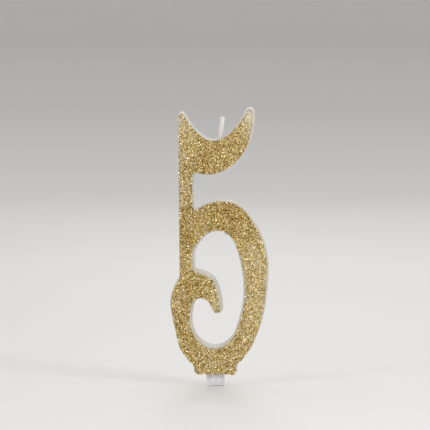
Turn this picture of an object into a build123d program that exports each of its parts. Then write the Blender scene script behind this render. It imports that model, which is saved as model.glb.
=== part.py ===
from build123d import *
import os

# Glitter birthday candle in the shape of the numeral five.
# Millimetres, +Z up. The glitter face looks along -Y and the numeral reads from that side.
# The origin is where the tab leaves the flat underside of the foot, half-way through the wax.
# Every outline point is (x, z) on the front face of the wax, before the numeral's own offset.

# ---------------------------------------------------------------- wax casting
WAX_THICKNESS = 12.0
OUTER_DRAFT = 0.8  # the poured back is this much larger all round than the front face
COUNTER_DRAFT = 1.4  # the hole through the bowl is this much smaller at the back
FRONT_EDGE_RADIUS = 0.3
NUMERAL_OFFSET = 0.47  # the numeral stands this far right of its tab

# Foot: the short block that stands on the icing.
FOOT_LEFT = -13.8
FOOT_RIGHT = 12.8
FOOT_LEFT_TOP = 4.9
FOOT_RIGHT_TOP = 5.9
FOOT_CORNER_RADIUS = 1.7
FOOT_NECK_RADIUS = 1.6

# Left flank of the bowl, from the foot up to the stem.
FLANK_HEADING = 132
FLANK = [(-20.1, 12.3), (-24.5, 21.4), (-28.7, 41.2), (-28.0, 52.4), (-23.1, 62.3)]
FLANK_TOP_RADIUS = 1.6

# Stem and crescent. The left side leans out a little up to the left horn.
LEFT_HORN = (-24.2, 166.4)
LEFT_HORN_INSIDE = (-20.15, 167.3)
CRESCENT_TOP = [(-9.0, 153.2), (-0.6, 150.7), (8.0, 154.4), (19.5, 170.0)]
RIGHT_HORN = (24.1, 168.9)
CRESCENT_UNDERSIDE = [(24.0, 165.0), (19.0, 145.7), (4.2, 131.4), (-10.0, 129.7), (-15.2, 131.1)]
STEM_RIGHT = -15.2
NOTCH_TOP_RADIUS = 1.9
NOTCH_BOTTOM_RADIUS = 2.6

# Outside of the bowl, from the bottom of the notch round to the foot.
NOTCH_BOTTOM = 103.7
BOWL_HEADING = 33
BOWL = [
    (-9.1, 107.7),
    (4.0, 111.7),
    (18.5, 105.3),
    (26.6, 93.8),
    (33.1, 64.7),
    (31.8, 49.5),
    (23.6, 20.1),
    (FOOT_RIGHT, FOOT_RIGHT_TOP),
]

# Counter: the hole in the bowl, with a hook of wax that curls down into it.
COUNTER_LEFT = -15.1
COUNTER_SHELF = 67.0
COUNTER_SHOULDER = 79.4
COUNTER_HEADING = 67
COUNTER_CORNER_RADIUS = 2.8
COUNTER = [
    (-9.5, 88.3),
    (-1.7, 92.9),
    (6.9, 91.5),
    (13.0, 84.2),
    (18.6, 59.5),
    (17.4, 40.7),
    (12.8, 26.1),
    (-1.4, 17.2),
    (-14.0, 25.0),
    (-16.7, 39.9),
    (-15.7, 45.2),
    (-9.9, 49.5),
    (-3.9, 46.1),
    (-1.6, 41.4),
    (3.0, 42.1),
    (0.0, 58.0),
    (-3.0, 62.2),
    (-11.4, 66.3),
    (COUNTER_LEFT, COUNTER_SHELF),
]

# ---------------------------------------------------------------- glitter face
COAT_INSET = 0.35  # bare wax left round the edge of the glitter
ADHESIVE_THICKNESS = 0.15
GLITTER_THICKNESS = 0.45

# ---------------------------------------------------------------- wick
WICK_ENTRY = (2.97, 151.0)  # where its axis crosses the floor of the crescent
WICK_LEAN = 6.1  # degrees, to the right
WICK_PROUD = 15.3
WICK_BURIED = 18.0
WICK_RADIUS = 1.5
WICK_CORE_RADIUS = 0.8
WICK_TIP_RADIUS = 1.3
WICK_TIP_COVER = 1.0  # wax over the end of the cotton

# ---------------------------------------------------------------- tab
TAB_WIDTH = 11.9
TAB_THICKNESS = 2.2
TAB_DROP = 7.9  # how far it stands out below the foot
TAB_BURIED = 11.0
TAB_END_HOLLOW = 0.35  # its lower edge is slightly concave
TAB_CORNER_RADIUS = 0.5
TAB_RIM = 0.9  # width of the raised border
TAB_WEB_THICKNESS = 1.2
ANCHOR_HOLE_RADIUS = 1.3  # wax flows through these and locks the tab
ANCHOR_HOLE_SPACING = 5.4
ANCHOR_HOLE_HEIGHT = 6.5

FRONT = WAX_THICKNESS / 2
OVERSHOOT = 1.0  # cutting tools run this far past what they cut


def heading(degrees):
    """Unit vector in an outline's own plane."""
    return Vector(1, 0).rotate(Axis.Z, degrees)


def smooth_run(start, tangent, stops):
    """Arcs through the stops, each one tangent to the arc before it."""
    arcs = []
    for stop in stops:
        arcs.append(TangentArc(start, stop, tangent=tangent))
        start = stop
        tangent = arcs[-1] % 1
    return arcs


def rounded(edges, corners):
    """Closed wire of the edges, with a radius at each named corner, in its place over the tab."""
    face = make_face(Wire(edges)).face()
    for corner, radius in corners:
        vertex = face.vertices().sort_by_distance((*corner, 0))[0]
        face = face.fillet_2d(radius, [vertex])
    return Pos(NUMERAL_OFFSET, 0) * face.outer_wire()


def numeral_outline():
    """Outside of the numeral on the front face, clockwise from the foot's lower left corner."""
    foot_left = (FOOT_LEFT, 0)
    neck_left = (FOOT_LEFT, FOOT_LEFT_TOP)
    foot_right = (FOOT_RIGHT, 0)
    notch_top = CRESCENT_UNDERSIDE[-1]
    notch_bottom = (STEM_RIGHT, NOTCH_BOTTOM)

    edges = [Line(foot_left, neck_left)]
    edges += smooth_run(neck_left, heading(FLANK_HEADING), FLANK)
    edges.append(Line(FLANK[-1], LEFT_HORN))
    top_stops = [LEFT_HORN_INSIDE, *CRESCENT_TOP, RIGHT_HORN, *CRESCENT_UNDERSIDE]
    edges += smooth_run(LEFT_HORN, edges[-1] % 1, top_stops)
    edges.append(Line(notch_top, notch_bottom))
    edges += smooth_run(notch_bottom, heading(BOWL_HEADING), BOWL)
    edges.append(Line(BOWL[-1], foot_right))
    edges.append(Line(foot_right, foot_left))
    corners = [
        (foot_left, FOOT_CORNER_RADIUS),
        (neck_left, FOOT_NECK_RADIUS),
        (FLANK[-1], FLANK_TOP_RADIUS),
        (notch_top, NOTCH_TOP_RADIUS),
        (notch_bottom, NOTCH_BOTTOM_RADIUS),
        (BOWL[-1], FOOT_NECK_RADIUS),
        (foot_right, FOOT_CORNER_RADIUS),
    ]
    return rounded(edges, corners)


def counter_outline():
    """Edge of the counter on the front face, clockwise from the shelf over the hook."""
    shelf = (COUNTER_LEFT, COUNTER_SHELF)
    shoulder = (COUNTER_LEFT, COUNTER_SHOULDER)
    edges = [Line(shelf, shoulder)]
    edges += smooth_run(shoulder, heading(COUNTER_HEADING), COUNTER)
    corners = [(shelf, COUNTER_CORNER_RADIUS), (shoulder, COUNTER_CORNER_RADIUS)]
    return rounded(edges, corners)


def upright(flat, depth):
    """Stands a flat outline up, at a depth in front of the middle of the wax."""
    return Plane.XZ.offset(depth) * flat


def drafted(wire, growth):
    """Solid from the outline on the front face to the outline grown by the draft at the back."""
    sections = [upright(wire, FRONT), upright(wire.offset_2d(growth), -FRONT)]
    return Solid.make_loft(sections, ruled=True)


def layer(outer, counter, inset, behind, thickness):
    """Flat layer on the glitter face, set in from the edges of the wax."""
    face = Face(outer.offset_2d(-inset), [counter.offset_2d(inset)])
    return extrude(upright(face, behind), amount=thickness, dir=(0, -1, 0))


def wick_rod(radius, top):
    """Rod on the wick's own axis, from its buried end up to a height above the crescent."""
    entry = Location((WICK_ENTRY[0], 0, WICK_ENTRY[1]), (0, WICK_LEAN, 0))
    length = WICK_BURIED + top
    rod = Cylinder(radius, length, align=(Align.CENTER, Align.CENTER, Align.MIN))
    return entry * Pos(0, 0, -WICK_BURIED) * rod


def make_wick():
    """Cotton core and the wax it was dipped in, which closes over its upper end."""
    core = wick_rod(WICK_CORE_RADIUS, WICK_PROUD - WICK_TIP_COVER)
    dipped = wick_rod(WICK_RADIUS, WICK_PROUD)
    tip = dipped.edges().sort_by(Axis.Z)[-1]
    dipped = fillet(tip, WICK_TIP_RADIUS)
    return core, dipped - core, dipped


def make_tab():
    """Flat plastic tab with a raised border and two holes that lock it into the wax."""
    half = TAB_WIDTH / 2
    lower_left = (-half, -TAB_DROP)
    lower_right = (half, -TAB_DROP)
    hollow = ThreePointArc(lower_left, (0, -TAB_DROP + TAB_END_HOLLOW), lower_right)
    sides = Polyline(lower_right, (half, TAB_BURIED), (-half, TAB_BURIED), lower_left)
    plate = make_face([hollow, *sides.edges()]).face()
    lower_corners = plate.vertices().sort_by(Axis.Y)[:2]
    plate = plate.fillet_2d(TAB_CORNER_RADIUS, lower_corners)

    recess_depth = (TAB_THICKNESS - TAB_WEB_THICKNESS) / 2
    recess_face = Face(plate.outer_wire().offset_2d(-TAB_RIM))
    tab = extrude(upright(plate, TAB_THICKNESS / 2), amount=TAB_THICKNESS, dir=(0, 1, 0))
    tab -= extrude(upright(recess_face, TAB_THICKNESS / 2), amount=recess_depth, dir=(0, 1, 0))
    tab -= extrude(upright(recess_face, -TAB_THICKNESS / 2), amount=recess_depth, dir=(0, -1, 0))
    for side in (-1, 1):
        centre = (side * ANCHOR_HOLE_SPACING / 2, 0, ANCHOR_HOLE_HEIGHT)
        hole = Cylinder(ANCHOR_HOLE_RADIUS, TAB_THICKNESS + OVERSHOOT, rotation=(90, 0, 0))
        tab -= Pos(*centre) * hole
    return tab


def make_wax(outer, counter, wick, tab):
    """The casting: drafted numeral, trimmed flat under the foot, moulded round wick and tab."""
    wax = drafted(outer, OUTER_DRAFT) - drafted(counter, -COUNTER_DRAFT)
    front_edges = wax.faces().sort_by(Axis.Y)[0].edges()
    wax = fillet(front_edges, FRONT_EDGE_RADIUS)
    reach = abs(FLANK[2][0]) + WAX_THICKNESS
    below = Box(2 * reach, 2 * WAX_THICKNESS, WAX_THICKNESS, align=(Align.CENTER, Align.CENTER, Align.MAX))
    return wax - below - wick - tab


outer_edge = numeral_outline()
counter_edge = counter_outline()
wick_core, wick_wax_coat, whole_wick = make_wick()
base_tab = make_tab()
parts = {
    "wax_body": make_wax(outer_edge, counter_edge, whole_wick, base_tab),
    "glitter_adhesive": layer(outer_edge, counter_edge, COAT_INSET, FRONT, ADHESIVE_THICKNESS),
    "glitter_coat": layer(
        outer_edge, counter_edge, COAT_INSET, FRONT + ADHESIVE_THICKNESS, GLITTER_THICKNESS
    ),
    "wick_core": wick_core,
    "wick_wax_coat": wick_wax_coat,
    "base_tab": base_tab,
}

os.makedirs("parts", exist_ok=True)
for name, shape in parts.items():
    export_step(shape, f"parts/{name}.step")
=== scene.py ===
"""Looks of the glitter number candle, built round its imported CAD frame.

Metres, +Z up. The glitter face looks along -Y, and the numeral reads from that side.
Outlines are closed runs of (x, z) points with the wax on their left.
Tables of places give x, z and reach in millimetres, and what happens there.
"""

import math

import bmesh
import bpy
import numpy as np
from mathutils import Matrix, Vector, kdtree, noise
from mathutils.bvhtree import BVHTree
from mathutils.geometry import delaunay_2d_cdt


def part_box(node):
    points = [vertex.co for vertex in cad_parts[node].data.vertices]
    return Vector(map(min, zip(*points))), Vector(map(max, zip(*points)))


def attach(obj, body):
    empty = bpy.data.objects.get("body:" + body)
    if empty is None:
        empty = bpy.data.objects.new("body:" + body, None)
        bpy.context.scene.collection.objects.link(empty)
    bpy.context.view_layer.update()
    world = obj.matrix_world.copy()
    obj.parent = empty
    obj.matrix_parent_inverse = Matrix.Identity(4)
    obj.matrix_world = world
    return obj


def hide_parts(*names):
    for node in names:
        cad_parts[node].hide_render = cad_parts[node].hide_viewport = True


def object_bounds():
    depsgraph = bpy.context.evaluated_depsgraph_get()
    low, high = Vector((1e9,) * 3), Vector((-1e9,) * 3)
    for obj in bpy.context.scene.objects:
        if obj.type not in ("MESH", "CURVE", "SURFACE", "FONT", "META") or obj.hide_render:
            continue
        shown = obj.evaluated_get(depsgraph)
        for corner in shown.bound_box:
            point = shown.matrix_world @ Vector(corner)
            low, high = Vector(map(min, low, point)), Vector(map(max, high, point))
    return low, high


MM = 0.001
WELD = 1e-6
SEED = 5

# ---------------------------------------------------------------- camera and light
# Angles are in degrees: azimuth from the front towards +X, and elevation above the horizontal.
CAMERA_AZIMUTH = 2.2
CAMERA_ELEVATION = 4.58
CAMERA_DISTANCE = 3.0
CAMERA_SENSOR = 36.0
CAMERA_REACH = 100.0
VIEW_WIDTH = 0.2763  # what the frame spans at the glitter face
AIM_SIDE = -0.06 * MM
AIM_HEIGHT = 103.1 * MM

WORLD_COLOUR = (1.0, 0.985, 0.97)
WORLD_STRENGTH = 0.78
# name, azimuth, elevation, distance, width, spread of the beam, watts
LAMPS = [
    ("key", 50, 12, 1.1, 0.28, 180, 3.5),
    ("fill", -48, 12, 1.3, 0.4, 180, 3.05),
    ("back", 180, 12, 2.0, 0.6, 50, 0.38),
]
STAGE_RADIUS = 6.0
STAGE_CURVE = 1.0
STAGE_CURVE_ROWS = 12
STAGE_HEIGHT = 1.6
STAGE_SIDES = 96
STAGE_PAINTED_FALLOFF = (0.9, 3.2)  # distances from the candle between which painted shade turns the paper grey

# ---------------------------------------------------------------- wax casting
SECTION_INSET = 1.5 * MM  # outlines are read this far in from the front and the back
OUTLINE_STEP = 0.5 * MM
FINE_STEP = 0.2 * MM
OUTLINE_SMOOTHING = 3
WALL_STEP = 0.7 * MM
FRONT_EDGE_RADIUS = 0.35 * MM
BACK_EDGE_RADIUS = 0.4 * MM
EDGE_ROWS = 4
CAP_STEP = 1.0 * MM
CAP_CLEARANCE = 0.6  # of a step, kept free of inner points along the outlines
WALL_RIPPLE = 0.07 * MM
WALL_RIPPLE_PITCH = 6.0 * MM
FACE_RIPPLE = 0.05 * MM
FACE_RIPPLE_PITCH = 9.0 * MM
MENISCUS_DROP = 0.4 * MM
MENISCUS_REACH = 1.2 * MM
SHRINK_SLOPE = 0.05  # how much the poured back sinks for each metre from its edge

# Places where the casting has more wax than its mould, or less: x, z, reach, height in mm.
SURPLUS = [
    (7.1, 91.4, 1.1, 1.2),  # a run of wax under the top of the counter
    (8.1, 22.6, 3.2, 0.35),
    (11.3, 0.0, 1.6, 0.4),
    (-12.9, 0.4, 1.6, -0.55),
]

# Hollows where the poured back sank most as it cooled: x, z, reach, depth in mm.
SINKS = [
    (-8.0, 141.0, 6.0, 0.35),
    (13.0, 146.0, 4.0, 0.2),
    (6.0, 100.0, 5.0, 0.3),
    (24.0, 60.0, 4.5, 0.25),
    (-20.0, 48.0, 6.0, 0.35),
    (-5.0, 56.0, 3.5, 0.2),
    (0.5, 9.0, 5.0, 0.3),
]

# ---------------------------------------------------------------- glitter
INSET_RIPPLE = 0.12 * MM
INSET_RIPPLE_PITCH = 3.0 * MM
# Places where the glitter stops short of the edge: x, z, reach, by how many mm.
BARE = [
    (22.5, 168.0, 6.0, 0.45),
    (25.0, 158.0, 8.0, 0.15),
    (-21.8, 166.0, 4.0, 0.4),
    (-15.5, 160.0, 6.0, 0.15),
    (-6.5, 65.0, 6.0, 0.7),
    (2.0, 54.0, 8.0, 0.85),
    (-15.0, 74.0, 9.0, 0.75),
    (-3.0, 17.0, 9.0, 0.8),
    (33.0, 60.0, 24.0, 0.5),
    (24.0, 97.0, 10.0, 0.2),
    (-28.5, 43.0, 14.0, 0.3),
    (7.1, 91.4, 1.6, 0.8),
]
# Places where it is so thin that the wax shows through: x, z, reach, share of flakes missing.
THIN = [
    (23.5, 168.0, 9.0, 0.7),
    (25.5, 155.0, 7.0, 0.5),
    (-21.8, 165.0, 8.0, 0.6),
    (-25.0, 148.0, 7.5, 0.38),
    (-24.0, 136.0, 8.0, 0.34),
    (-24.0, 124.0, 7.0, 0.25),
    (-18.5, 120.0, 8.0, 0.15),
    (-23.0, 112.0, 7.0, 0.4),
    (7.1, 91.4, 1.5, 0.5),
    (1.0, 44.0, 4.5, 0.55),
    (-26.0, 46.0, 10.0, 0.16),
    (30.5, 66.0, 20.0, 0.1),
    (0.5, 8.0, 16.0, 0.05),
]
MOST_MISSING = 0.8
BED_STEP = 0.8 * MM
BED_THICKNESS = 0.15 * MM
BED_BEAD = 0.25 * MM
BED_RIPPLE = 0.05 * MM
BED_RIPPLE_PITCH = 1.2 * MM
FLAKE_SIDES = 6
FLAKE_RADIUS = 0.28 * MM
FLAKE_SPREAD = 0.12  # how much flakes differ in size
FLAKE_LIMITS = (0.6, 1.35)  # of the radius
FLAKE_PITCH = 0.38 * MM
FLAKE_TILT = 0.24
COAT_THICKNESS = 0.38 * MM
COAT_RAGGED = 0.12 * MM
TONE_SHAPE = 0.8  # of the beta distribution of the flakes' tones: lower is more contrast
HUE_SHAPE = 0.6
PATCH_PITCH = 5.0 * MM
PATCH_TONE = 0.07
PATCH_HUE = 0.15
PATCH_HUE_SHIFT = 40.0  # moves the patches of hue away from the patches of tone
# Parts of the face that are paler or darker than the rest: x, z, reach, extra tone.
PALER = [
    # painted light: these two make the right of the bowl paler, as if lit from the right
    (29.0, 74.0, 14.0, 0.17),
    (28.0, 42.0, 18.0, 0.16),
    (10.0, 101.0, 13.0, -0.13),
    (-9.0, 138.0, 11.0, -0.08),
    (-20.0, 88.0, 12.0, -0.09),
    (-14.0, 57.0, 7.0, -0.08),
    (-18.5, 120.0, 9.0, 0.08),
    (-20.0, 158.0, 8.0, 0.15),
    (-24.0, 142.0, 9.0, 0.1),
    (20.0, 158.0, 8.0, 0.1),
    (23.5, 168.5, 8.0, 0.3),
    (3.0, 8.0, 14.0, 0.05),
    (1.0, 44.0, 5.0, 0.1),
    (-18.0, 110.0, 6.0, -0.06),
]
STRAY_DEPTH = 0.5 * MM  # how far flakes reach down the walls on average
STRAY_PITCH = 0.12 * MM
STRAY_SHARE = 0.4
STRAY_THINNING = 2.0  # how much faster strays get fewer than the flakes beside them
# Places where more flakes went over the edge: x, z, reach, extra share.
SPILLS = [
    (-4.0, 109.5, 8.0, 1.3),
    (6.0, 111.0, 8.0, 1.3),
    (16.0, 107.0, 8.0, 1.0),
    (0.0, 151.0, 12.0, 0.7),
    (13.3, 2.5, 3.0, 1.2),
]
SPILL_REACH = 2.2  # how many times further flakes reach down the walls there
STRAY_PROUD = 0.04 * MM  # how far their middles stand off the wall

# ---------------------------------------------------------------- wick
WICK_SIDES = 40
WICK_STEP = 0.3 * MM
WICK_TIP = 1.15 * MM
WICK_TIP_ROWS = 8
WICK_GROOVE = 0.32 * MM
WICK_GROOVE_PLACE = -0.35  # radians round from the front: negative is to the left
WICK_GROOVE_WIDTH = 0.3
WICK_GROOVE_SWING = 0.15
WICK_GROOVE_WAVE = 5.0 * MM
WICK_LUMP = 0.05 * MM
WICK_LUMP_PITCH = 2.5 * MM
WICK_COLLAR = 0.45 * MM
WICK_COLLAR_HEIGHT = 0.8 * MM
WICK_BESIDE = 3.0 * MM  # how far beside the wick the height of the wax is read
WICK_ABOVE = 0.1  # how far along the wick, clear of the wax, that reading starts
STRAND_COUNT = 6
STRAND_RADIUS = 0.2 * MM
STRAND_SIDES = 8
STRAND_PITCH = 6.5 * MM
STRAND_WEAVE = 0.09 * MM
STRAND_STEP = 0.35 * MM

# ---------------------------------------------------------------- tab
TAB_FLAT_ANGLE = 1  # degrees: faces that meet at less are one face
TAB_EDGE_ANGLE = 30
TAB_EDGE_RADIUS = 0.14 * MM
TAB_EDGE_ROWS = 3

# ---------------------------------------------------------------- materials
# Paraffin on the moulded walls and front, darkened there as painted shade, and on the back, which cooled
# in air, at its own paler white.
MOULDED_WAX_WITH_PAINTED_SHADE = [(0.36, (0.59, 0.565, 0.50)), (0.5, (0.635, 0.61, 0.545)), (0.64, (0.68, 0.66, 0.595))]
POURED_WAX = [(0.36, (0.73, 0.71, 0.655)), (0.5, (0.77, 0.752, 0.70)), (0.64, (0.80, 0.785, 0.74))]
BACK_FACING = (0.6, 0.95)  # how squarely a surface looks backwards as the first turns into the second
CLOUD_SIZE = 9.0 * MM
CLOUD_SHARE = 0.6
CRYSTAL_SIZE = 1.1 * MM
CRYSTAL_SHARE = 0.4
CRYSTAL_RELIEF = 0.35
PIT_SPACING = 4.5 * MM
PIT_EDGE = (0.05, 0.15)  # of the spacing, from a pit's middle
PIT_DEPTH = 1.5

# Lacquer full of gold dust, and where the glitter is thin, with the wax showing through.
GOLD_LACQUER = [(0.34, (0.20, 0.13, 0.045)), (0.52, (0.40, 0.29, 0.12)), (0.7, (0.62, 0.50, 0.27))]
CLEAR_LACQUER = [(0.34, (0.60, 0.56, 0.46)), (0.52, (0.72, 0.685, 0.585)), (0.7, (0.82, 0.79, 0.70))]
CLEARING = 1.6  # how much sooner the lacquer clears than the flakes go
LACQUER_METAL = 0.6
DUST_SIZE = 0.35 * MM

# Film colours from the flakes that turn away to the ones that catch the light: partly the flakes' own
# golds, partly painted shade and painted glints.
OLIVE_GOLDS = [
    (0.0, (0.105, 0.063, 0.007)),
    (0.28, (0.37, 0.262, 0.036)),
    (0.55, (0.64, 0.51, 0.145)),
    (0.8, (0.87, 0.79, 0.40)),
    (1.0, (0.92, 0.89, 0.67)),
]
COPPER_GOLDS = [
    (0.0, (0.135, 0.052, 0.005)),
    (0.28, (0.475, 0.215, 0.026)),
    (0.55, (0.76, 0.465, 0.115)),
    (0.8, (0.94, 0.71, 0.335)),
    (1.0, (0.94, 0.86, 0.62)),
]
SCUFF_SIZE = 0.12 * MM

DIPPED_WAX = [(0.35, (0.72, 0.70, 0.68)), (0.5, (0.81, 0.79, 0.77)), (0.68, (0.89, 0.87, 0.85))]
# painted shade in the braid's groove
GROOVE_PAINTED_SHADE_WAX = [(0.35, (0.56, 0.54, 0.52)), (0.68, (0.67, 0.65, 0.63))]
STREAK_SIZE = 0.7 * MM
STREAK_SQUEEZE = 0.12  # scale along Z, which makes long streaks

COTTON = [(0.3, (0.60, 0.57, 0.52)), (0.7, (0.82, 0.80, 0.76))]
FIBRE_SIZE = 0.15 * MM

POLYPROPYLENE = [
    (0.2, (0.62, 0.61, 0.65)),
    (0.36, (0.74, 0.73, 0.77)),
    (0.5, (0.82, 0.81, 0.85)),
    (0.66, (0.90, 0.89, 0.92)),
]
FLOW_SIZE = 2.2 * MM
FLOW_SQUEEZE = 0.3
TAB_SHADE = (-0.16, 0.06)  # painted shade: darker at the tab's tip and paler at the wax
TAB_SHADE_HEIGHTS = (-7.9 * MM, -0.5 * MM)
TAB_GRAIN_SIZE = 0.25 * MM

# the paper's own colour near the candle, then painted shade far from it
PAPER = [(0.0, (0.83, 0.82, 0.81)), (1.0, (0.60, 0.595, 0.59))]
PAPER_GRAIN_SIZE = 0.4
PAPER_GRAIN = 0.1


# ================================================================ outlines
def section(node, depth):
    """Closed outlines of a CAD node cut at that depth, the longest first."""
    mesh = bmesh.new()
    mesh.from_mesh(node.data)
    bmesh.ops.remove_doubles(mesh, verts=mesh.verts, dist=WELD)
    bmesh.ops.bisect_plane(
        mesh,
        geom=[*mesh.verts, *mesh.edges, *mesh.faces],
        plane_co=(0, depth, 0),
        plane_no=(0, 1, 0),
        clear_inner=True,
        clear_outer=True,
    )
    loops = []
    left = dict.fromkeys(mesh.edges)
    while left:
        edge = left.popitem()[0]
        first, here = edge.verts
        points = [(first.co.x, first.co.z)]
        while here != first:
            points.append((here.co.x, here.co.z))
            edge = next(e for e in here.link_edges if e in left)
            del left[edge]
            here = edge.other_vert(here)
        loops.append(np.array(points))
    mesh.free()
    return sorted(loops, key=perimeter, reverse=True)


def perimeter(loop):
    return np.linalg.norm(np.roll(loop, -1, axis=0) - loop, axis=1).sum()


def free_length(loop):
    """Length of a loop without the foot's flat underside, which the mould's draft leaves alone."""
    ahead = np.roll(loop, -1, axis=0)
    above = np.maximum(loop[:, 1], ahead[:, 1]) > WELD
    return np.linalg.norm(ahead - loop, axis=1)[above].sum()


def signed_area(loop):
    x, z = loop.T
    return 0.5 * np.sum(x * np.roll(z, -1) - z * np.roll(x, -1))


def resampled(loop, step):
    """The same loop with evenly spaced points."""
    closed = np.vstack([loop, loop[:1]])
    along = np.r_[0, np.cumsum(np.linalg.norm(np.diff(closed, axis=0), axis=1))]
    count = round(along[-1] / step)
    at = np.arange(count) * along[-1] / count
    return np.c_[np.interp(at, along, closed[:, 0]), np.interp(at, along, closed[:, 1])]


def smoothed(loop, passes):
    for _ in range(passes):
        loop = (np.roll(loop, 1, axis=0) + 2 * loop + np.roll(loop, -1, axis=0)) / 4
    return loop


def oriented(loop, hole):
    """Anticlockwise for the outside and clockwise for a hole, so the wax is on the left."""
    return loop if (signed_area(loop) > 0) != hole else loop[::-1]


def away(loop):
    """Unit normals that point away from the wax."""
    along = np.roll(loop, -1, axis=0) - np.roll(loop, 1, axis=0)
    along /= np.linalg.norm(along, axis=1)[:, None]
    return np.c_[along[:, 1], -along[:, 0]]


def bump(points, places):
    """Sum of soft bumps, each given as x, z, reach and height in millimetres."""
    total = np.zeros(len(points))
    for x, z, reach, height in places:
        distance = np.linalg.norm(points / MM - (x, z), axis=1)
        total += height * MM * np.exp(-((distance / reach) ** 2))
    return total


def ripple(points, pitch, shift=0.0):
    """Smooth noise from -1 to 1 at each point of any dimension."""
    padded = np.zeros((len(points), 3))
    padded[:, : points.shape[1]] = points / pitch + shift
    return np.array([noise.noise(Vector(p)) for p in padded])


def inside(points, loops):
    """Which points are within the outer loop and outside the hole."""
    odd = np.zeros(len(points), bool)
    for loop in loops:
        ahead = np.roll(loop, -1, axis=0)
        for (x0, z0), (x1, z1) in zip(loop, ahead):
            if z0 == z1:
                continue
            crosses = (points[:, 1] < z0) != (points[:, 1] < z1)
            meets = x0 + (points[:, 1] - z0) * (x1 - x0) / (z1 - z0)
            odd ^= crosses & (points[:, 0] < meets)
    return odd


def distances(points, loops):
    """Distance of each point from the nearest outline."""
    rim = np.vstack([resampled(loop, FINE_STEP) for loop in loops])
    tree = kdtree.KDTree(len(rim))
    for index, (x, z) in enumerate(rim):
        tree.insert((x, z, 0), index)
    tree.balance()
    return np.array([tree.find((x, z, 0))[2] for x, z in points])


def hexagonal_grid(loops, step):
    """Evenly packed points over the box of the loops."""
    low = loops[0].min(0)
    high = loops[0].max(0)
    rows = np.arange(low[1], high[1], step * math.sin(math.radians(60)))
    points = []
    for number, z in enumerate(rows):
        x = np.arange(low[0] + step / 2 * (number % 2), high[0], step)
        points.append(np.c_[x, np.full(len(x), z)])
    return np.vstack(points)


def filled(loops, step):
    """Points inside the loops, and triangles that index the loops' points and then these."""
    grid = hexagonal_grid(loops, step)
    grid = grid[inside(grid, loops)]
    grid = grid[distances(grid, loops) > step * CAP_CLEARANCE]
    points = np.vstack([*loops, grid])
    edges = []
    start = 0
    for loop in loops:
        count = len(loop)
        edges += [(start + i, start + (i + 1) % count) for i in range(count)]
        start += count
    made = delaunay_2d_cdt([Vector(p) for p in points / MM], edges, [], 0, WELD)
    source = [origin[0] for origin in made[3]]
    triangles = np.array([[source[v] for v in face] for face in made[2]])
    middles = points[triangles].mean(axis=1)
    return grid, triangles[inside(middles, loops)]


# ================================================================ meshes
def piece(name, points, faces, node, material):
    """A piece of the model that stands for a CAD node."""
    mesh = bpy.data.meshes.new(name)
    mesh.from_pydata([tuple(p) for p in points], [], [tuple(f) for f in faces])
    mesh.validate()
    mesh.polygons.foreach_set("use_smooth", [True] * len(mesh.polygons))
    mesh.materials.append(material)
    made = bpy.data.objects.new(name, mesh)
    bpy.context.scene.collection.objects.link(made)
    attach(made, "root")
    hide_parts(node)
    return made


def store(made, name, domain, values):
    """Keeps one number for each point or face of a piece, for its material to read."""
    layer = made.data.attributes.new(name, "FLOAT", domain)
    layer.data.foreach_set("value", np.array(values, np.float32))


def face_outwards(made):
    """Makes a closed mesh's normals point out."""
    mesh = bmesh.new()
    mesh.from_mesh(made.data)
    bmesh.ops.recalc_face_normals(mesh, faces=mesh.faces)
    mesh.to_mesh(made.data)
    mesh.free()


def strips(start, count, rows):
    """Quads between rows of a closed loop of points."""
    faces = []
    for row in range(rows - 1):
        for i in range(count):
            j = (i + 1) % count
            a = start + row * count
            b = a + count
            faces.append((a + i, a + j, b + j, b + i))
    return faces


def cap(points, faces, rim_ids, grid, depths, triangles):
    """Closes a face: adds its inner points at their depths, and the triangles from its rims to them."""
    ids = np.array([*rim_ids, *range(len(points), len(points) + len(grid))])
    points += [(x, depth, z) for (x, z), depth in zip(grid, depths)]
    faces += ids[triangles][:, ::-1].tolist()


def wax_outlines(front, back):
    """Outer and counter outlines near the front, and how much each grows per metre of depth."""
    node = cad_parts["wax_body"]
    near = front + SECTION_INSET
    far = back - SECTION_INSET
    outlines = []
    growths = []
    for number, (loop, loop_far) in enumerate(zip(section(node, near), section(node, far))):
        hole = number > 0
        change = abs(abs(signed_area(loop_far)) - abs(signed_area(loop)))
        growth = change / (free_length(loop) + free_length(loop_far)) * 2 / (far - near)
        loop = smoothed(resampled(loop, OUTLINE_STEP), OUTLINE_SMOOTHING)
        growths.append(growth)
        outlines.append(oriented(loop, hole))
    return outlines, growths, near


def wall_rows(front, back):
    """Depth and inset of each row of a wall, from the edge of one face to the edge of the other."""
    rows = []
    for angle in np.linspace(0, math.pi / 2, EDGE_ROWS):
        radius = FRONT_EDGE_RADIUS
        rows.append((front + radius * (1 - math.cos(angle)), radius * (1 - math.sin(angle))))
    start = front + FRONT_EDGE_RADIUS
    stop = back - BACK_EDGE_RADIUS
    count = round((stop - start) / WALL_STEP)
    rows += [(depth, 0.0) for depth in np.linspace(start, stop, count + 1)[1:-1]]
    for angle in np.linspace(math.pi / 2, 0, EDGE_ROWS):
        radius = BACK_EDGE_RADIUS
        rows.append((back - radius * (1 - math.cos(angle)), radius * (1 - math.sin(angle))))
    return rows


def wall_row(loop, growth, depth):
    """The outline at a depth, trimmed at the foot, with the casting's own surplus and ripple."""
    moved = loop + away(loop) * growth
    moved[:, 1] = np.maximum(moved[:, 1], 0)
    solid = np.c_[moved[:, 0], np.full(len(moved), depth), moved[:, 1]]
    push = bump(moved, SURPLUS) + WALL_RIPPLE * ripple(solid, WALL_RIPPLE_PITCH)
    return moved + away(loop) * push[:, None]


def poured_surface(points, rims, back):
    """Depth of the poured back: a meniscus at its edge, a slow sink towards the middle, hollows."""
    edge = distances(points, rims)
    drop = MENISCUS_DROP * (1 - np.exp(-edge / MENISCUS_REACH))
    drop += SHRINK_SLOPE * edge + bump(points, SINKS)
    return back - drop + FACE_RIPPLE * ripple(points, FACE_RIPPLE_PITCH)


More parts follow.
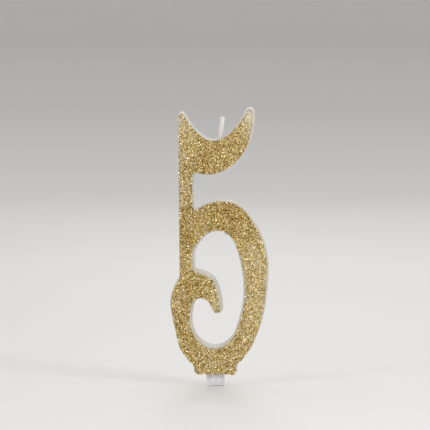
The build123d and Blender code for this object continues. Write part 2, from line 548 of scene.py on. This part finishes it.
def make_wax(material):
    """The casting. Gives the outlines of its front edge, and how much each grows per metre of depth."""
    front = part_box("wax_body")[0].y
    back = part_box("wax_body")[1].y
    outlines, growths, near = wax_outlines(front, back)
    rows = wall_rows(front, back)
    points = []
    faces = []
    edges = []
    front_rims = []
    back_rims = []
    front_ids = []
    back_ids = []
    for loop, growth in zip(outlines, growths):
        start = len(points)
        count = len(loop)
        wall = [wall_row(loop, growth * (depth - near) - inset, depth) for depth, inset in rows]
        for row, (depth, _) in zip(wall, rows):
            points += [(x, depth, z) for x, z in row]
        faces += strips(start, count, len(rows))
        edges.append(wall_row(loop, growth * (front - near), front))
        front_rims.append(wall[0])
        back_rims.append(wall[-1])
        front_ids += range(start, start + count)
        back_ids += range(len(points) - count, len(points))
    grid, triangles = filled(front_rims, CAP_STEP)
    cap(points, faces, front_ids, grid, np.full(len(grid), front), triangles)
    grid, triangles = filled(back_rims, CAP_STEP)
    cap(points, faces, back_ids, grid, poured_surface(grid, back_rims, back), triangles)
    face_outwards(piece("candle_wax", points, faces, "wax_body", material))
    return edges, growths


# ================================================================ glitter
def coat_inset(points):
    """How far in from the edge of the wax the glitter starts near each point."""
    uneven = INSET_RIPPLE * ripple(points, INSET_RIPPLE_PITCH)
    return np.maximum(uneven + bump(points, BARE), 0.0)


def thinness(points):
    """Share of the flakes that is missing near each point."""
    return (bump(points, THIN) / MM).clip(0, MOST_MISSING)


def edge_fall(inset):
    """How far the face has rounded away, this far in from the edge of the wax."""
    short = np.clip(1 - inset / FRONT_EDGE_RADIUS, 0, 1)
    return FRONT_EDGE_RADIUS * (1 - np.sqrt(1 - short**2))


def make_bed(edges, material):
    """The film of gold lacquer that holds the flakes."""
    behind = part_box("glitter_adhesive")[1].y
    points = []
    faces = []
    rims = []
    rim_ids = []
    for edge in edges:
        start = len(points)
        count = len(edge)
        for angle in np.linspace(0, math.pi / 2, EDGE_ROWS):
            inset = coat_inset(edge) + BED_BEAD * (1 - math.cos(angle))
            row = smoothed(edge - away(edge) * inset[:, None], 1)
            depths = behind + edge_fall(inset) - BED_THICKNESS * math.sin(angle)
            points += [(x, depth, z) for (x, z), depth in zip(row, depths)]
        faces += strips(start, count, EDGE_ROWS)
        rims.append(row)
        rim_ids += range(len(points) - count, len(points))
    grid, triangles = filled(rims, BED_STEP)
    depths = behind - BED_THICKNESS - BED_RIPPLE * ripple(grid, BED_RIPPLE_PITCH)
    cap(points, faces, rim_ids, grid, depths, triangles)
    bed = piece("glitter_bed", points, faces, "glitter_adhesive", material)
    store(bed, "thin", "POINT", thinness(np.array(points)[:, [0, 2]]))


def face_places(edges, random):
    """Flakes on the face, evenly scattered with a ragged edge: their places and outward directions."""
    flat = hexagonal_grid(edges, FLAKE_PITCH)
    flat += random.uniform(-0.5, 0.5, flat.shape) * FLAKE_PITCH
    flat = flat[inside(flat, edges)]
    insets = distances(flat, edges)
    ragged = random.uniform(-COAT_RAGGED, COAT_RAGGED, len(flat))
    kept = insets - coat_inset(flat) > ragged
    kept &= random.uniform(0, 1, len(flat)) > thinness(flat)
    x, z = flat[kept].T
    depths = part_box("glitter_coat")[1].y + edge_fall(insets[kept])
    depths -= random.uniform(0.0, COAT_THICKNESS, len(depths))
    outward = np.tile((0.0, -1.0, 0.0), (len(depths), 1))
    return np.c_[x, depths, z], outward


def stray_places(edges, growths, random):
    """Flakes that stuck to the walls beside the front edge: their places and outward directions."""
    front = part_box("wax_body")[0].y
    places = []
    outward = []
    for edge, growth in zip(edges, growths):
        loop = resampled(edge, STRAY_PITCH)
        spilt = bump(loop, SPILLS) / MM
        share = (STRAY_SHARE + spilt) * (1 - STRAY_THINNING * thinness(loop))
        kept = (random.uniform(0, 1, len(loop)) < share) & (loop[:, 1] > FLAKE_RADIUS)
        out = away(loop)[kept]
        deep = random.exponential(STRAY_DEPTH, len(out)) * (1 + (SPILL_REACH - 1) * spilt[kept])
        push = growth * deep - edge_fall(deep) + STRAY_PROUD
        on_wall = loop[kept] + out * push[:, None]
        places.append(np.c_[on_wall[:, 0], front + deep, on_wall[:, 1]])
        outward.append(np.c_[out[:, 0], np.zeros(len(out)), out[:, 1]])
    return np.vstack(places), np.vstack(outward)


def hexagons(places, outward, random):
    """Corners of a film flake at each place, leaning a little from the surface it lies on."""
    count = len(places)
    helper = np.where(np.abs(outward[:, 1:2]) > 0.5, (0.0, 0.0, 1.0), (0.0, 1.0, 0.0))
    first = np.cross(helper, outward)
    second = np.cross(outward, first)
    lean = random.normal(0.0, FLAKE_TILT, (2, count, 1))
    first = first + lean[0] * outward
    second = second + lean[1] * outward
    radius = FLAKE_RADIUS * (1 + random.normal(0, FLAKE_SPREAD, count)).clip(*FLAKE_LIMITS)
    corner = 2 * math.pi / FLAKE_SIDES
    angle = random.uniform(0, corner, count)[:, None] + np.arange(FLAKE_SIDES) * corner
    across = (radius[:, None] * np.cos(angle))[:, :, None] * first[:, None]
    up = (radius[:, None] * np.sin(angle))[:, :, None] * second[:, None]
    return places[:, None] + across + up


def make_flakes(edges, growths, material):
    """Hexagonal film flakes on the face and a few on the walls, each with its own tone and hue."""
    random = np.random.default_rng(SEED)
    on_face = face_places(edges, random)
    on_walls = stray_places(edges, growths, random)
    places = np.vstack([on_face[0], on_walls[0]])
    outward = np.vstack([on_face[1], on_walls[1]])
    count = len(places)
    points = hexagons(places, outward, random).reshape(-1, 3)
    faces = np.arange(count * FLAKE_SIDES).reshape(count, FLAKE_SIDES)
    flakes = piece("glitter_flakes", points, faces, "glitter_coat", material)
    flakes.data.polygons.foreach_set("use_smooth", [False] * count)
    flat = places[:, [0, 2]]
    # each flake's tone: its own gold, with dark tones as painted shade and pale ones as painted glints
    tone = random.beta(TONE_SHAPE, TONE_SHAPE, count)
    # the paler places include painted light on the right of the bowl
    tone += PATCH_TONE * ripple(flat, PATCH_PITCH) + bump(flat, PALER) / MM
    hue = random.beta(HUE_SHAPE, HUE_SHAPE, count)
    hue += PATCH_HUE * ripple(flat, PATCH_PITCH, PATCH_HUE_SHIFT)
    store(flakes, "tone", "FACE", tone.clip(0, 1))
    store(flakes, "hue", "FACE", hue.clip(0, 1))


# ================================================================ wick
def rod_axis(node):
    """Lower end, direction and length of a long CAD node."""
    points = np.array([v.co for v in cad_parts[node].data.vertices])
    middle = points.mean(0)
    direction = np.linalg.svd(points - middle, full_matrices=False)[2][0]
    direction *= math.copysign(1, direction[2])
    along = (points - middle) @ direction
    return middle + direction * along.min(), direction, along.max() - along.min()


def cross_axes(direction):
    """Two unit vectors square to a direction: rightwards, and away from the glitter face."""
    back = np.array([0.0, 1.0, 0.0])
    right = np.cross(back, direction)
    return right / np.linalg.norm(right), back


def ring(centre, axes, radii, angles):
    """Points round a centre, at those radii and angles from the first axis to the second."""
    right, back = axes
    outward = np.cos(angles)[:, None] * right + np.sin(angles)[:, None] * back
    return centre + radii[:, None] * outward


def wick_groove(angles, stop):
    """Depth of the wick's groove at each angle round it and that far along it, as a share."""
    middle = WICK_GROOVE_PLACE + WICK_GROOVE_SWING * math.sin(stop / WICK_GROOVE_WAVE)
    off = np.angle(np.exp(1j * (angles + math.pi / 2 - middle)))
    return np.exp(-((off / WICK_GROOVE_WIDTH) ** 2))


def wick_lump(angles, stop):
    """How far the dipped wax stands out at each angle round the wick and that far along it."""
    along = np.full(len(angles), stop / WICK_LUMP_PITCH)
    return WICK_LUMP * ripple(np.c_[np.cos(angles), np.sin(angles), along], 1.0)


def wick_collar(stop, surface):
    """How much thicker the wax is just above the casting, where it crept up the wick."""
    rise = max(0.0, stop - surface) / WICK_COLLAR_HEIGHT
    return WICK_COLLAR * max(0.0, 1 - rise) ** 2 if stop > surface - WICK_STEP else 0.0


def make_wick_coat(material):
    """Wax-dipped wick: a slightly uneven rod with a groove along its braid and a rounded tip."""
    foot, direction, length = rod_axis("wick_wax_coat")
    low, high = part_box("wick_wax_coat")
    radius = (high.y - low.y) / 2
    axes = cross_axes(direction)
    angles = np.arange(WICK_SIDES) * 2 * math.pi / WICK_SIDES
    surface = wick_entry_length(foot, direction)
    stops = list(np.arange(0, length - WICK_TIP, WICK_STEP))
    turns = np.linspace(0, math.pi / 2, WICK_TIP_ROWS)[:-1]
    stops += [length - WICK_TIP * (1 - math.sin(turn)) for turn in turns]
    points = []
    grooves = []
    for stop in stops:
        dome = max(0.0, stop - (length - WICK_TIP)) / WICK_TIP
        groove = wick_groove(angles, stop) * (1 - dome)
        grooves += groove.tolist()
        radii = radius + wick_collar(stop, surface) - WICK_GROOVE * groove + wick_lump(angles, stop)
        radii *= math.sqrt(max(0.0, 1 - dome**2))
        points += ring(foot + direction * stop, axes, radii, angles).tolist()
    faces = strips(0, WICK_SIDES, len(stops))
    last = len(points) - WICK_SIDES
    points += [foot.tolist(), (foot + direction * length).tolist()]
    for i in range(WICK_SIDES):
        j = (i + 1) % WICK_SIDES
        faces.append((j, i, len(points) - 2))
        faces.append((last + i, last + j, len(points) - 1))
    made = piece("wick_dipped", points, faces, "wick_wax_coat", material)
    face_outwards(made)
    # the groove's depth, also read by the material for its painted shade
    store(made, "groove", "POINT", grooves + [0.0, 0.0])


def wick_entry_length(foot, direction):
    """How far along its axis the wick comes out of the wax."""
    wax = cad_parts["wax_body"].data
    tree = BVHTree.FromPolygons([v.co for v in wax.vertices], [p.vertices for p in wax.polygons])
    beside = Vector((WICK_BESIDE, 0, 0))
    foot = Vector(foot)
    direction = Vector(direction)
    top = foot + direction * WICK_ABOVE
    heights = []
    for shift in (-beside, beside):
        place = tree.ray_cast(top + shift, -direction)[0]
        heights.append((place - foot).dot(direction))
    return sum(heights) / len(heights)


def make_wick_core(material):
    """Round braid of cotton strands inside the wick: half of them turn each way."""
    foot, direction, length = rod_axis("wick_core")
    low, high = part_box("wick_core")
    radius = (high.y - low.y) / 2 - STRAND_RADIUS - STRAND_WEAVE
    axes = cross_axes(direction)
    angles = np.arange(STRAND_SIDES) * 2 * math.pi / STRAND_SIDES
    stops = np.linspace(0, length, round(length / STRAND_STEP))
    points = []
    faces = []
    for strand in range(STRAND_COUNT):
        way = 1 if strand % 2 else -1
        turn = way * 2 * math.pi * stops / STRAND_PITCH + 2 * math.pi * strand / STRAND_COUNT
        swing = radius + way * STRAND_WEAVE * np.cos(turn * STRAND_COUNT / 2)
        start = len(points)
        for stop, place, reach in zip(stops, turn, swing):
            outward = math.cos(place) * axes[0] + math.sin(place) * axes[1]
            centre = foot + direction * stop + outward * reach
            points += ring(centre, axes, np.full(STRAND_SIDES, STRAND_RADIUS), angles).tolist()
        faces += strips(start, STRAND_SIDES, len(stops))
        faces.append(range(start, start + STRAND_SIDES))
        faces.append(range(len(points) - STRAND_SIDES, len(points)))
    face_outwards(piece("wick_braid", points, faces, "wick_core", material))


# ================================================================ tab
def make_tab(material):
    """The moulded tab, with its edges eased as they come out of a mould."""
    mesh = bmesh.new()
    mesh.from_mesh(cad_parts["base_tab"].data)
    bmesh.ops.remove_doubles(mesh, verts=mesh.verts, dist=WELD)
    bmesh.ops.dissolve_limit(
        mesh,
        angle_limit=math.radians(TAB_FLAT_ANGLE),
        verts=mesh.verts,
        edges=mesh.edges,
        delimit={"NORMAL"},
    )
    sharp = [e for e in mesh.edges if e.calc_face_angle(0) > math.radians(TAB_EDGE_ANGLE)]
    bmesh.ops.bevel(
        mesh, geom=sharp, offset=TAB_EDGE_RADIUS, segments=TAB_EDGE_ROWS, profile=0.5, affect="EDGES"
    )
    bmesh.ops.triangulate(mesh, faces=mesh.faces)
    points = [v.co[:] for v in mesh.verts]
    faces = [[v.index for v in f.verts] for f in mesh.faces]
    mesh.free()
    piece("tab_moulding", points, faces, "base_tab", material)


# ================================================================ materials
def add(tree, kind, **inputs):
    """New shader node. An input given a socket is linked to it, and any other value is set."""
    made = tree.nodes.new("ShaderNode" + kind)
    for name, value in inputs.items():
        socket = made.inputs[name.replace("_", " ")]
        if isinstance(value, bpy.types.NodeSocket):
            tree.links.new(value, socket)
        else:
            socket.default_value = value
    return made


def ramp(tree, factor, stops):
    """Colour picked by a value from 0 to 1, between stops of position and colour."""
    made = add(tree, "ValToRGB", Fac=factor)
    elements = made.color_ramp.elements
    for element, (position, colour) in zip(elements, (stops[0], stops[-1])):
        element.position = position
        element.color = (*colour, 1)
    for position, colour in stops[1:-1]:
        elements.new(position).color = (*colour, 1)
    return made.outputs["Color"]


def attribute(tree, name):
    """One of the numbers kept by store()."""
    made = add(tree, "Attribute")
    made.attribute_name = name
    return made.outputs["Fac"]


def blend(tree, factor, first, second):
    """Colour between two colours."""
    made = tree.nodes.new("ShaderNodeMix")
    made.data_type = "RGBA"
    # The node keeps a set of sockets for each data type: these are its factor and its colours.
    for number, value in ((0, factor), (6, first), (7, second)):
        tree.links.new(value, made.inputs[number])
    return made.outputs[2]


def spread(tree, value, low, high, low_in=0.3, high_in=0.7):
    """Maps a value to a range. Noise lies mostly between the input limits used when none are given."""
    limits = {"From_Min": low_in, "From_Max": high_in, "To_Min": low, "To_Max": high}
    return add(tree, "MapRange", Value=value, **limits).outputs["Result"]


def calculate(tree, operation, first, second):
    """Sum or product of two values."""
    made = tree.nodes.new("ShaderNodeMath")
    made.operation = operation
    for socket, value in zip(made.inputs, (first, second)):
        if isinstance(value, bpy.types.NodeSocket):
            tree.links.new(value, socket)
        else:
            socket.default_value = value
    return made.outputs["Value"]


def shader_material(name, **values):
    """Material with these values set on its shader. Gives its tree, shader and object coordinates too."""
    made = bpy.data.materials.new(name)
    made.use_nodes = True
    tree = made.node_tree
    shader = tree.nodes["Principled BSDF"]
    for socket, value in values.items():
        shader.inputs[socket.replace("_", " ")].default_value = value
    return made, tree, shader, add(tree, "TexCoord").outputs["Object"]


def speckle(tree, where, size, detail=2.0):
    """Noise whose blobs are about this size."""
    return add(tree, "TexNoise", Vector=where, Scale=1 / size, Detail=detail).outputs["Fac"]


def relief(tree, shader, height, distance, strength=1.0):
    """Fine height differences that only the light shows."""
    made = add(tree, "Bump", Height=height, Distance=distance, Strength=strength)
    tree.links.new(made.outputs["Normal"], shader.inputs["Normal"])


def wax_material():
    """Cast paraffin: milky, a little mottled, with air pits in its poured back, and painted shade that
    darkens its walls and front.
    """
    made, tree, shader, where = shader_material(
        "cast_paraffin",
        Subsurface_Weight=0.35,
        Subsurface_Radius=(1.0, 0.8, 0.6),
        Subsurface_Scale=1.2 * MM,
        IOR=1.44,
        Specular_IOR_Level=0.25,
    )
    cloud = speckle(tree, where, CLOUD_SIZE, 3.0)
    crystal = speckle(tree, where, CRYSTAL_SIZE, 4.0)
    clouds = calculate(tree, "MULTIPLY", cloud, CLOUD_SHARE)
    crystals = calculate(tree, "MULTIPLY", crystal, CRYSTAL_SHARE)
    mottle = calculate(tree, "ADD", clouds, crystals)
    normal = add(tree, "TexCoord").outputs["Normal"]
    facing = add(tree, "SeparateXYZ", Vector=normal).outputs["Y"]
    on_back = spread(tree, facing, 0.0, 1.0, *BACK_FACING)
    # painted shade: the walls and front take the darker moulded colours, the back the paler poured ones
    colour = blend(tree, on_back, ramp(tree, mottle, MOULDED_WAX_WITH_PAINTED_SHADE), ramp(tree, mottle, POURED_WAX))
    tree.links.new(colour, shader.inputs["Base Color"])
    tree.links.new(spread(tree, cloud, 0.48, 0.64), shader.inputs["Roughness"])

    cells = add(tree, "TexVoronoi", Vector=where, Scale=1 / PIT_SPACING, Randomness=1.0)
    pit = spread(tree, cells.outputs["Distance"], -PIT_DEPTH, 0.0, *PIT_EDGE)
    fine = calculate(tree, "MULTIPLY", crystal, CRYSTAL_RELIEF)
    height = calculate(tree, "ADD", fine, calculate(tree, "MULTIPLY", pit, on_back))
    relief(tree, shader, height, 0.12 * MM, 0.6)
    return made


def bed_material():
    """Gold lacquer full of fine dust."""
    made, tree, shader, where = shader_material("gold_lacquer", Coat_Weight=0.4, Coat_Roughness=0.2)
    dust = speckle(tree, where, DUST_SIZE, 3.0)
    thin = calculate(tree, "MULTIPLY", attribute(tree, "thin"), CLEARING)
    colour = blend(tree, thin, ramp(tree, dust, GOLD_LACQUER), ramp(tree, dust, CLEAR_LACQUER))
    tree.links.new(colour, shader.inputs["Base Color"])
    tree.links.new(spread(tree, dust, 0.3, 0.5), shader.inputs["Roughness"])
    metal = spread(tree, thin, LACQUER_METAL, 0.0, 0.0, 1.0)
    tree.links.new(metal, shader.inputs["Metallic"])
    relief(tree, shader, dust, 0.1 * MM, 0.8)
    return made


def flake_material():
    """Metallised film flakes in several golds, a little scuffed."""
    made, tree, shader, where = shader_material(
        "gold_film_flakes", Metallic=0.92, Coat_Weight=0.05, Coat_Roughness=0.08
    )
    tone = attribute(tree, "tone")
    olive = ramp(tree, tone, OLIVE_GOLDS)
    copper = ramp(tree, tone, COPPER_GOLDS)
    colour = blend(tree, attribute(tree, "hue"), olive, copper)
    tree.links.new(colour, shader.inputs["Base Color"])
    scuff = speckle(tree, where, SCUFF_SIZE)
    tree.links.new(spread(tree, scuff, 0.26, 0.44), shader.inputs["Roughness"])
    return made


def wick_material():
    """White dipping wax over cotton, streaky, with painted shade that greys it in the groove of the
    braid.
    """
    made, tree, shader, where = shader_material(
        "dipping_wax",
        Subsurface_Weight=0.35,
        Subsurface_Radius=(1.0, 0.85, 0.7),
        Subsurface_Scale=0.6 * MM,
    )
    drawn = add(tree, "Mapping", Vector=where, Scale=(1.0, 1.0, STREAK_SQUEEZE))
    streak = speckle(tree, drawn.outputs["Vector"], STREAK_SIZE, 3.0)
    groove = attribute(tree, "groove")
    # painted shade: greyer where the groove is deepest
    colour = blend(tree, groove, ramp(tree, streak, DIPPED_WAX), ramp(tree, streak, GROOVE_PAINTED_SHADE_WAX))
    tree.links.new(colour, shader.inputs["Base Color"])
    tree.links.new(spread(tree, streak, 0.32, 0.5), shader.inputs["Roughness"])
    relief(tree, shader, streak, 0.08 * MM, 0.5)
    return made


def cotton_material():
    """Soft white cotton yarn."""
    made, tree, shader, where = shader_material("cotton_yarn", Roughness=0.9, Sheen_Weight=0.3)
    fibre = speckle(tree, where, FIBRE_SIZE, 5.0)
    tree.links.new(ramp(tree, fibre, COTTON), shader.inputs["Base Color"])
    relief(tree, shader, fibre, 0.05 * MM)
    return made


def tab_material():
    """Natural polypropylene: milky white with a faint cold cast, marks where the melt ran through its
    mould, and painted shade that darkens it towards its tip.
    """
    made, tree, shader, where = shader_material(
        "natural_polypropylene",
        Subsurface_Weight=0.3,
        Subsurface_Radius=(0.8, 0.85, 1.0),
        Subsurface_Scale=0.7 * MM,
    )
    drawn = add(tree, "Mapping", Vector=where, Scale=(1.0, 1.0, FLOW_SQUEEZE))
    flow_and_shade = speckle(tree, drawn.outputs["Vector"], FLOW_SIZE, 4.0)
    height = add(tree, "SeparateXYZ", Vector=where).outputs["Z"]
    # painted shade added to the marks: darker towards the tab's tip, paler at the wax
    flow_and_shade = calculate(tree, "ADD", flow_and_shade, spread(tree, height, *TAB_SHADE, *TAB_SHADE_HEIGHTS))
    tree.links.new(ramp(tree, flow_and_shade, POLYPROPYLENE), shader.inputs["Base Color"])
    tree.links.new(spread(tree, flow_and_shade, 0.28, 0.42), shader.inputs["Roughness"])
    relief(tree, shader, speckle(tree, where, TAB_GRAIN_SIZE), 0.02 * MM, 0.5)
    return made


def stage_material():
    """Matt pale paper, with painted shade that turns it greyer far from the candle."""
    made, tree, shader, where = shader_material("pale_paper", Roughness=0.7)
    far = add(tree, "VectorMath", Vector=where)
    far.operation = "LENGTH"
    # painted shade: greyer with distance from the candle
    falloff_and_grain = spread(tree, far.outputs["Value"], 0.0, 1.0, *STAGE_PAINTED_FALLOFF)
    grain = calculate(tree, "MULTIPLY", speckle(tree, where, PAPER_GRAIN_SIZE), PAPER_GRAIN)
    falloff_and_grain = calculate(tree, "ADD", falloff_and_grain, grain)
    tree.links.new(ramp(tree, falloff_and_grain, PAPER), shader.inputs["Base Color"])
    return made


# ================================================================ room
def make_stage():
    """Round floor under the candle that curves up at its far edge."""
    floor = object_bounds()[0][2]
    profile = [(0.0, 0.0), (STAGE_RADIUS - STAGE_CURVE, 0.0)]
    for angle in np.linspace(0, math.pi / 2, STAGE_CURVE_ROWS)[1:]:
        out = STAGE_RADIUS - STAGE_CURVE + STAGE_CURVE * math.sin(angle)
        profile.append((out, STAGE_CURVE * (1 - math.cos(angle))))
    profile.append((STAGE_RADIUS, STAGE_HEIGHT))
    mesh = bmesh.new()
    verts = [mesh.verts.new((out, 0, floor + up)) for out, up in profile]
    edges = [mesh.edges.new(pair) for pair in zip(verts, verts[1:])]
    bmesh.ops.spin(
        mesh,
        geom=[*verts, *edges],
        axis=(0, 0, 1),
        cent=(0, 0, 0),
        angle=2 * math.pi,
        steps=STAGE_SIDES,
        use_merge=True,
    )
    bmesh.ops.remove_doubles(mesh, verts=mesh.verts, dist=WELD)
    bmesh.ops.recalc_face_normals(mesh, faces=mesh.faces)
    data = bpy.data.meshes.new("floor")
    mesh.to_mesh(data)
    mesh.free()
    data.polygons.foreach_set("use_smooth", [True] * len(data.polygons))
    data.materials.append(stage_material())
    made = bpy.data.objects.new("floor", data)
    bpy.context.scene.collection.objects.link(made)


def place_around(aim, azimuth, elevation, distance):
    """Position at that azimuth, elevation and distance, and the rotation that looks at the aim."""
    turn = math.radians(azimuth)
    rise = math.radians(elevation)
    level = math.cos(rise)
    direction = Vector((math.sin(turn) * level, -math.cos(turn) * level, math.sin(rise)))
    return aim + direction * distance, (-direction).to_track_quat("-Z", "Y").to_euler()


def make_camera():
    """The photo's view."""
    aim = Vector((AIM_SIDE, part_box("wax_body")[0].y, AIM_HEIGHT))
    data = bpy.data.cameras.new("camera")
    data.sensor_width = CAMERA_SENSOR
    data.lens = CAMERA_SENSOR * CAMERA_DISTANCE / VIEW_WIDTH
    data.clip_end = CAMERA_REACH
    camera = bpy.data.objects.new("camera", data)
    camera.location, camera.rotation_euler = place_around(
        aim, CAMERA_AZIMUTH, CAMERA_ELEVATION, CAMERA_DISTANCE
    )
    bpy.context.scene.collection.objects.link(camera)
    bpy.context.scene.camera = camera
    bpy.context.scene.view_settings.view_transform = "Standard"


def make_lights():
    """A pale studio with the lamps round the candle."""
    scene = bpy.context.scene
    world = bpy.data.worlds.new("studio")
    world.use_nodes = True
    sky = world.node_tree.nodes["Background"]
    sky.inputs["Color"].default_value = (*WORLD_COLOUR, 1)
    sky.inputs["Strength"].default_value = WORLD_STRENGTH
    scene.world = world
    aim = Vector((0, 0, AIM_HEIGHT))
    for name, azimuth, elevation, distance, width, beam, watts in LAMPS:
        data = bpy.data.lights.new(name, "AREA")
        data.shape = "SQUARE"
        data.size = width
        data.spread = math.radians(beam)
        data.energy = watts
        lamp = bpy.data.objects.new(name, data)
        lamp.location, lamp.rotation_euler = place_around(aim, azimuth, elevation, distance)
        lamp.visible_camera = False
        scene.collection.objects.link(lamp)


# ================================================================ scene
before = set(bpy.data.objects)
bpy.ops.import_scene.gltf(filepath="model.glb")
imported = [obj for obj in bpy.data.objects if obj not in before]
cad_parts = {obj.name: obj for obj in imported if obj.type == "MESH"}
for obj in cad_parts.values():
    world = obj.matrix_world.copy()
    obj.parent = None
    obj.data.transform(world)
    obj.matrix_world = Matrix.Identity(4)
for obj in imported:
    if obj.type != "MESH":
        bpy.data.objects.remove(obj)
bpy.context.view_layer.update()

make_stage()
face_edges, wall_growths = make_wax(wax_material())
make_bed(face_edges, bed_material())
make_flakes(face_edges, wall_growths, flake_material())
make_wick_coat(wick_material())
make_wick_core(cotton_material())
make_tab(tab_material())
make_camera()
make_lights()
